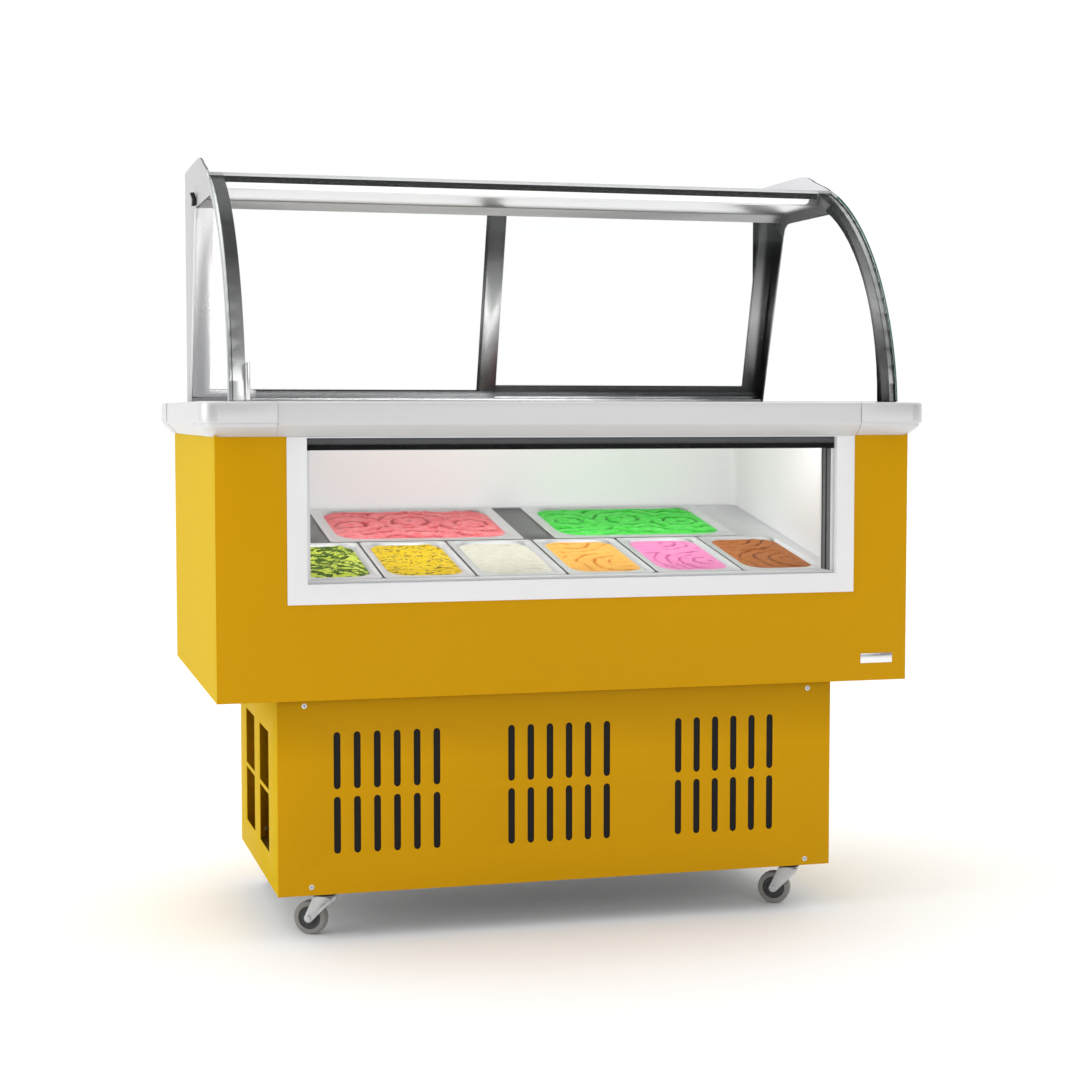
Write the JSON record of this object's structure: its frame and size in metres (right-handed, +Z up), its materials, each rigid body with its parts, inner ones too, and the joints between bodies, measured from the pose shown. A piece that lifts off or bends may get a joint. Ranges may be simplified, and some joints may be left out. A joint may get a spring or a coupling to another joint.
{
  "type": "ice cream dipping cabinet",
  "caption": "Wheeled ice cream dipping cabinet with a low front window, recessed pans under a curved glass canopy, sliding rear doors and a vented machine base.",
  "frame": {"origin": "middle of the overall footprint, on the floor under the casters", "axes": "+X to the right as the customer sees it, +Y from the customer's side towards the operator's side, +Z up"},
  "size_m": [1.374, 0.81, 1.448],
  "materials": {
    "body_paint": "gloss",
    "window_frame": "gloss",
    "liner": "satin",
    "foam": "matte",
    "spacer": "matte",
    "window_glass": "clear",
    "canopy_glass": "clear",
    "door_glass": "clear",
    "deck": "brushed",
    "shelf": "brushed",
    "pan_support": "brushed",
    "pan": "brushed",
    "rail": "satin",
    "corner_cap": "satin",
    "end_frame": "polished",
    "door_frame": "polished",
    "light_diffuser": "satin",
    "switch": "gloss",
    "tray": "galvanised",
    "compressor": "satin",
    "condenser": "satin",
    "fan": "matte",
    "caster_fork": "zinc plated",
    "caster_wheel": "matte",
    "ice_cream_pistachio": "matte",
    "ice_cream_custard": "matte",
    "ice_cream_vanilla": "matte",
    "ice_cream_mango": "matte",
    "ice_cream_bubblegum": "matte",
    "ice_cream_caramel": "matte",
    "ice_cream_strawberry": "matte",
    "ice_cream_mint": "matte"
  },
  "bodies": {
    "cabinet": {"base_tray": "tray", "base_front_panel": "body_paint", "base_housing": "body_paint", "compressor": "compressor", "condenser": "condenser", "front_panel": "body_paint", "side_panel_left": "body_paint", "side_panel_right": "body_paint", "rear_panel": "body_paint", "insulation": "foam", "inner_liner": "liner", "window_frame": "window_frame", "window_glass_outer": "window_glass", "window_glass_inner": "window_glass", "window_spacer": "spacer", "deck": "deck", "rail_front": "rail", "rail_rear": "rail", "rail_left": "rail", "rail_right": "rail", "corner_cap_front_left": "corner_cap", "corner_cap_front_right": "corner_cap", "corner_cap_rear_left": "corner_cap", "corner_cap_rear_right": "corner_cap", "end_frame_left": "end_frame", "end_frame_right": "end_frame", "canopy_glass": "canopy_glass", "top_shelf": "shelf", "light_strip": "light_diffuser", "pan_support": "pan_support"},
    "door_left": {"door_left": "door_frame", "door_glass_left": "door_glass"},
    "door_right": {"door_right": "door_frame", "door_glass_right": "door_glass"},
    "light_switch": {"light_switch_rocker": "switch"},
    "fan": {"fan_blade": "fan"},
    "pan_1": {"pan_1": "pan", "ice_cream_1": "ice_cream_pistachio"},
    "pan_2": {"pan_2": "pan", "ice_cream_2": "ice_cream_custard"},
    "pan_3": {"pan_3": "pan", "ice_cream_3": "ice_cream_vanilla"},
    "pan_4": {"pan_4": "pan", "ice_cream_4": "ice_cream_mango"},
    "pan_5": {"pan_5": "pan", "ice_cream_5": "ice_cream_bubblegum"},
    "pan_6": {"pan_6": "pan", "ice_cream_6": "ice_cream_caramel"},
    "pan_7": {"pan_7": "pan", "ice_cream_7": "ice_cream_strawberry"},
    "pan_8": {"pan_8": "pan", "ice_cream_8": "ice_cream_mint"},
    "caster_front_left": {"caster_fork_front_left": "caster_fork"},
    "wheel_front_left": {"caster_wheel_front_left": "caster_wheel"},
    "caster_front_right": {"caster_fork_front_right": "caster_fork"},
    "wheel_front_right": {"caster_wheel_front_right": "caster_wheel"},
    "caster_rear_left": {"caster_fork_rear_left": "caster_fork"},
    "wheel_rear_left": {"caster_wheel_rear_left": "caster_wheel"},
    "caster_rear_right": {"caster_fork_rear_right": "caster_fork"},
    "wheel_rear_right": {"caster_wheel_rear_right": "caster_wheel"}
  },
  "joints": [
    {"name": "door_left_slide", "type": "slide", "parent": "cabinet", "child": "door_left", "axis": [1, 0, 0], "range_m": [0, 0.56]},
    {"name": "door_right_slide", "type": "slide", "parent": "cabinet", "child": "door_right", "axis": [-1, 0, 0], "range_m": [0, 0.56]},
    {"name": "light_switch_rock", "type": "hinge", "parent": "cabinet", "child": "light_switch", "pos_m": [-0.6343, 0.142, 1.372], "axis": [0, 1, 0], "range_deg": [0, 14]},
    {"name": "fan_spin", "type": "hinge", "parent": "cabinet", "child": "fan", "pos_m": [0.384, -0.123, 0.208], "axis": [1, 0, 0], "continuous": true},
    {"name": "pan_1_lift", "type": "slide", "parent": "cabinet", "child": "pan_1", "axis": [0, 0, 1], "range_m": [0, 0.06]},
    {"name": "pan_2_lift", "type": "slide", "parent": "cabinet", "child": "pan_2", "axis": [0, 0, 1], "range_m": [0, 0.06]},
    {"name": "pan_3_lift", "type": "slide", "parent": "cabinet", "child": "pan_3", "axis": [0, 0, 1], "range_m": [0, 0.06]},
    {"name": "pan_4_lift", "type": "slide", "parent": "cabinet", "child": "pan_4", "axis": [0, 0, 1], "range_m": [0, 0.06]},
    {"name": "pan_5_lift", "type": "slide", "parent": "cabinet", "child": "pan_5", "axis": [0, 0, 1], "range_m": [0, 0.06]},
    {"name": "pan_6_lift", "type": "slide", "parent": "cabinet", "child": "pan_6", "axis": [0, 0, 1], "range_m": [0, 0.06]},
    {"name": "pan_7_lift", "type": "slide", "parent": "cabinet", "child": "pan_7", "axis": [0, 0, 1], "range_m": [0, 0.06]},
    {"name": "pan_8_lift", "type": "slide", "parent": "cabinet", "child": "pan_8", "axis": [0, 0, 1], "range_m": [0, 0.06]},
    {"name": "caster_front_left_swivel", "type": "hinge", "parent": "cabinet", "child": "caster_front_left", "pos_m": [-0.463, -0.323, 0.075], "axis": [0, 0, 1], "continuous": true},
    {"name": "wheel_front_left_roll", "type": "hinge", "parent": "caster_front_left", "child": "wheel_front_left", "pos_m": [-0.48529, -0.30961, 0.031], "axis": [0.515, 0.8572, 0], "continuous": true},
    {"name": "caster_front_right_swivel", "type": "hinge", "parent": "cabinet", "child": "caster_front_right", "pos_m": [0.442, -0.323, 0.075], "axis": [0, 0, 1], "continuous": true},
    {"name": "wheel_front_right_roll", "type": "hinge", "parent": "caster_front_right", "child": "wheel_front_right", "pos_m": [0.41971, -0.30961, 0.031], "axis": [0.515, 0.8572, 0], "continuous": true},
    {"name": "caster_rear_left_swivel", "type": "hinge", "parent": "cabinet", "child": "caster_rear_left", "pos_m": [-0.463, 0.102, 0.075], "axis": [0, 0, 1], "continuous": true},
    {"name": "wheel_rear_left_roll", "type": "hinge", "parent": "caster_rear_left", "child": "wheel_rear_left", "pos_m": [-0.48529, 0.11539, 0.031], "axis": [0.515, 0.8572, 0], "continuous": true},
    {"name": "caster_rear_right_swivel", "type": "hinge", "parent": "cabinet", "child": "caster_rear_right", "pos_m": [0.442, 0.102, 0.075], "axis": [0, 0, 1], "continuous": true},
    {"name": "wheel_rear_right_roll", "type": "hinge", "parent": "caster_rear_right", "child": "wheel_rear_right", "pos_m": [0.41971, 0.11539, 0.031], "axis": [0.515, 0.8572, 0], "continuous": true}
  ]
}
